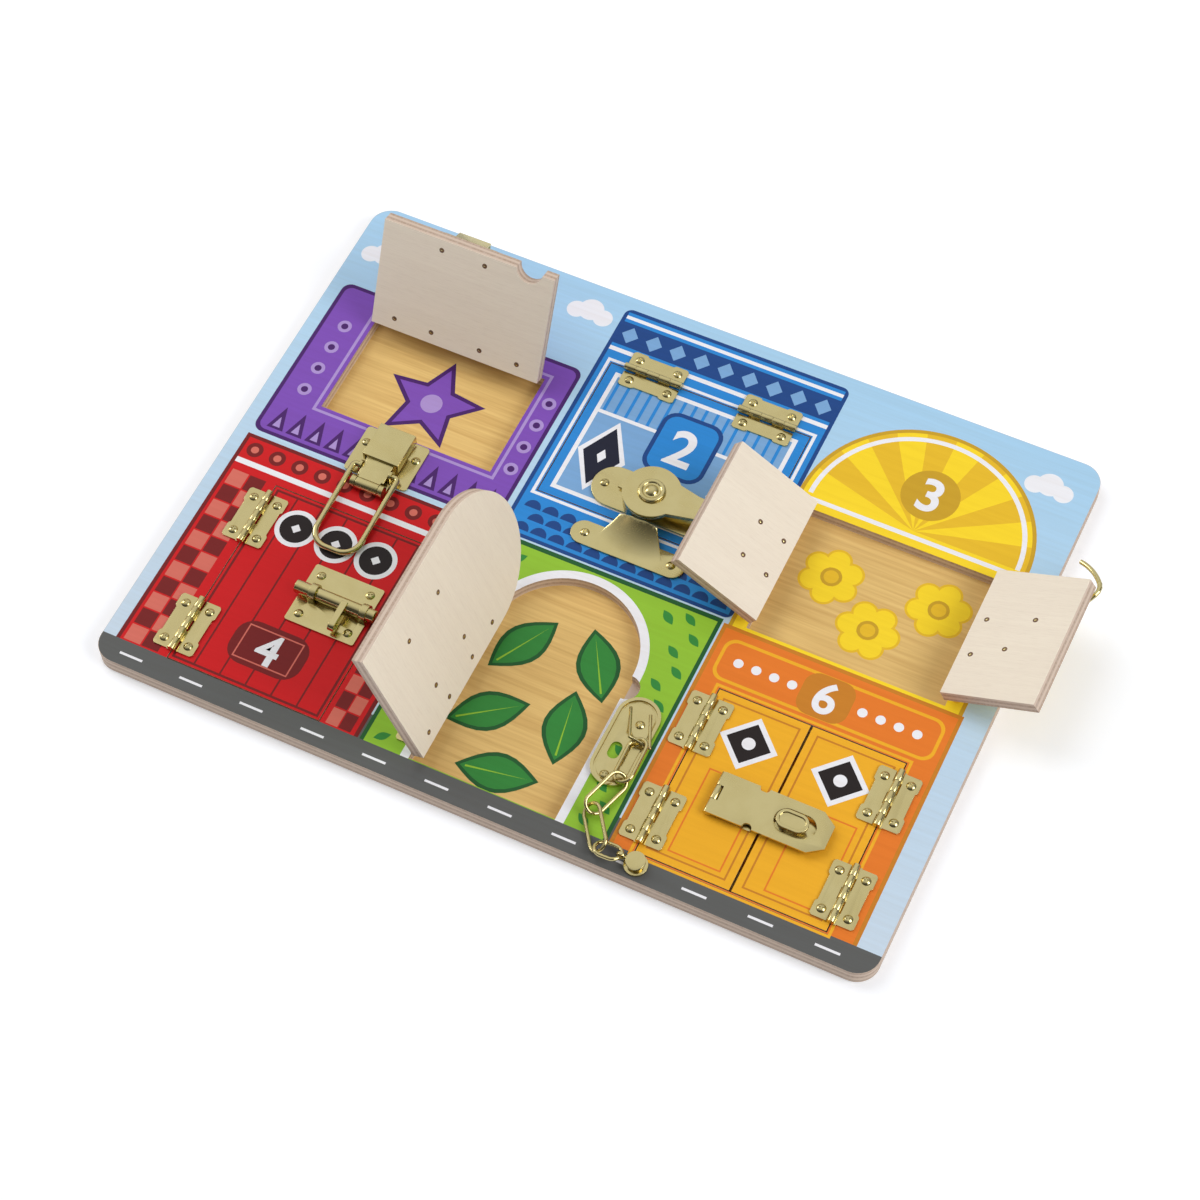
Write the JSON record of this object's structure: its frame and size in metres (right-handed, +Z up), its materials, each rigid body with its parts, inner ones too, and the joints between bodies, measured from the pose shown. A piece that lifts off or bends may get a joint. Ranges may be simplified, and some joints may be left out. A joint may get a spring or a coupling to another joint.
{
  "type": "latch board",
  "caption": "Flat plywood activity board with hinged doors over shallow recesses, each held by a different brass latch: draw latch, sash lock, hook and eye, slide bolt, door chain and hasp.",
  "frame": {"origin": "centre of the underside of the board", "axes": "+X along the long side to the right, +Y towards the back edge beyond the doors hinged at their upper edges, +Z up from the underside through the doors"},
  "size_m": [0.4171, 0.292, 0.083],
  "materials": {
    "birch_plywood": "sanded and printed",
    "brass": "bright plated"
  },
  "bodies": {
    "board": {"base_panel": "birch_plywood", "frame_panel": "birch_plywood", "frame_leaves": "brass", "hinge_pins": "brass", "frame_screws": "brass", "draw_base": "brass", "draw_pin": "brass", "sash_keeper": "brass", "bolt_keeper": "brass", "chain_anchor": "brass"},
    "door_1": {"door_1_panel": "birch_plywood", "door_1_leaves": "brass", "door_1_screws": "brass", "draw_catch": "brass"},
    "door_2": {"door_2_panel": "birch_plywood", "door_2_leaves": "brass", "door_2_screws": "brass", "sash_base": "brass", "sash_rivet": "brass"},
    "door_3_left": {"door_3_left_panel": "birch_plywood", "door_3_left_leaf": "brass", "door_3_left_screws": "brass", "hook_eye": "brass"},
    "door_3_right": {"door_3_right_panel": "birch_plywood", "door_3_right_leaf": "brass", "door_3_right_screws": "brass", "hook_plate": "brass"},
    "door_4": {"door_4_panel": "birch_plywood", "door_4_leaves": "brass", "door_4_screws": "brass", "bolt_plate": "brass"},
    "door_5": {"door_5_panel": "birch_plywood", "door_5_leaves": "brass", "door_5_screws": "brass", "chain_track": "brass"},
    "door_6_left": {"door_6_left_panel": "birch_plywood", "door_6_left_leaves": "brass", "door_6_left_screws": "brass", "hasp_plate": "brass", "hasp_pin": "brass"},
    "door_6_right": {"door_6_right_panel": "birch_plywood", "door_6_right_leaves": "brass", "door_6_right_screws": "brass", "staple_plate": "brass"},
    "draw_lever": {"draw_lever": "brass"},
    "draw_loop": {"draw_loop": "brass"},
    "sash_cam": {"sash_cam": "brass"},
    "hook": {"hook": "brass"},
    "slide_bolt": {"slide_bolt": "brass"},
    "chain_link_1": {"chain_link_1": "brass"},
    "chain_link_2": {"chain_link_2": "brass"},
    "chain_link_3": {"chain_link_3": "brass"},
    "chain_link_4": {"chain_link_4": "brass", "chain_button": "brass"},
    "hasp_strap": {"hasp_strap": "brass"},
    "turn_button": {"turn_button": "brass"}
  },
  "joints": [
    {"name": "door_1_hinge", "type": "hinge", "parent": "board", "child": "door_1", "pos_m": [-0.1187, 0.0822, 0.0111], "axis": [-1, 0, 0], "range_deg": [-114.6, 50]},
    {"name": "door_2_hinge", "type": "hinge", "parent": "board", "child": "door_2", "pos_m": [0.0064, 0.1053, 0.0111], "axis": [-1, 0, 0], "range_deg": [0, 51.13]},
    {"name": "door_3_left_hinge", "type": "hinge", "parent": "board", "child": "door_3_left", "pos_m": [0.0757, 0.0308, 0.0111], "axis": [0, -1, 0], "range_deg": [-146.1, 0]},
    {"name": "door_3_right_hinge", "type": "hinge", "parent": "board", "child": "door_3_right", "pos_m": [0.1745, 0.0308, 0.0111], "axis": [0, 1, 0], "range_deg": [-154.5, 10.5]},
    {"name": "door_4_hinge", "type": "hinge", "parent": "board", "child": "door_4", "pos_m": [-0.1625, -0.0806, 0.0111], "axis": [0, -1, 0], "range_deg": [0, 88]},
    {"name": "door_5_hinge", "type": "hinge", "parent": "board", "child": "door_5", "pos_m": [-0.0356, -0.083, 0.0111], "axis": [0, -1, 0], "range_deg": [-109.2, 10]},
    {"name": "door_6_left_hinge", "type": "hinge", "parent": "board", "child": "door_6_left", "pos_m": [0.0775, -0.0866, 0.0111], "axis": [0, -1, 0], "range_deg": [0, 115]},
    {"name": "door_6_right_hinge", "type": "hinge", "parent": "board", "child": "door_6_right", "pos_m": [0.1703, -0.0866, 0.0111], "axis": [0, 1, 0], "range_deg": [0, 115]},
    {"name": "draw_lever_pivot", "type": "hinge", "parent": "board", "child": "draw_lever", "pos_m": [-0.121, -0.0115, 0.0123], "axis": [1, 0, 0], "range_deg": [0, 168]},
    {"name": "draw_loop_pivot", "type": "hinge", "parent": "board", "child": "draw_loop", "pos_m": [-0.121, -0.0025, 0.0133], "axis": [1, 0, 0], "range_deg": [-176, 0]},
    {"name": "sash_cam_pivot", "type": "hinge", "parent": "door_2", "child": "sash_cam", "pos_m": [0.007, 0.037, 0.019], "axis": [0, 0, 1], "range_deg": [0, 100]},
    {"name": "hook_pivot", "type": "hinge", "parent": "door_3_right", "child": "hook", "pos_m": [0.19897, 0.0316, 0.02066], "axis": [0.4305, 0, -0.9026], "range_deg": [-30, 85]},
    {"name": "slide_bolt_slide", "type": "slide", "parent": "door_4", "child": "slide_bolt", "axis": [1, 0, 0], "range_m": [-0.012, 0.0065]},
    {"name": "chain_lift", "type": "hinge", "parent": "board", "child": "chain_link_1", "pos_m": [0.0572, -0.0839, 0.0137], "axis": [1, 0, 0], "range_deg": [-26, 0]},
    {"name": "chain_turn_2", "type": "hinge", "parent": "chain_link_1", "child": "chain_link_2", "pos_m": [0.05755, -0.1039, 0.0137], "axis": [0, 0, 1], "range_deg": [-12, 2]},
    {"name": "chain_turn_3", "type": "hinge", "parent": "chain_link_2", "child": "chain_link_3", "pos_m": [0.05153, -0.12297, 0.0137], "axis": [0, 0, 1], "range_deg": [-12, 1]},
    {"name": "chain_turn_4", "type": "hinge", "parent": "chain_link_3", "child": "chain_link_4", "pos_m": [0.06315, -0.13925, 0.0137], "axis": [0, 0, 1], "range_deg": [-12, 0]},
    {"name": "hasp_strap_hinge", "type": "hinge", "parent": "door_6_left", "child": "hasp_strap", "pos_m": [0.0989, -0.0919, 0.0114], "axis": [0, 1, 0], "range_deg": [-110, 0]},
    {"name": "turn_button_pivot", "type": "hinge", "parent": "door_6_right", "child": "turn_button", "pos_m": [0.1362, -0.0919, 0.014], "axis": [0, 0, 1], "range_deg": [0, 90]}
  ],
  "couplings": [
    {"joint": "door_6_right_hinge", "follows": "door_6_left_hinge", "ratio": 1},
    {"joint": "draw_loop_pivot", "follows": "door_4_hinge", "ratio": -2},
    {"joint": "door_2_hinge", "follows": "door_3_left_hinge", "ratio": -0.35}
  ]
}
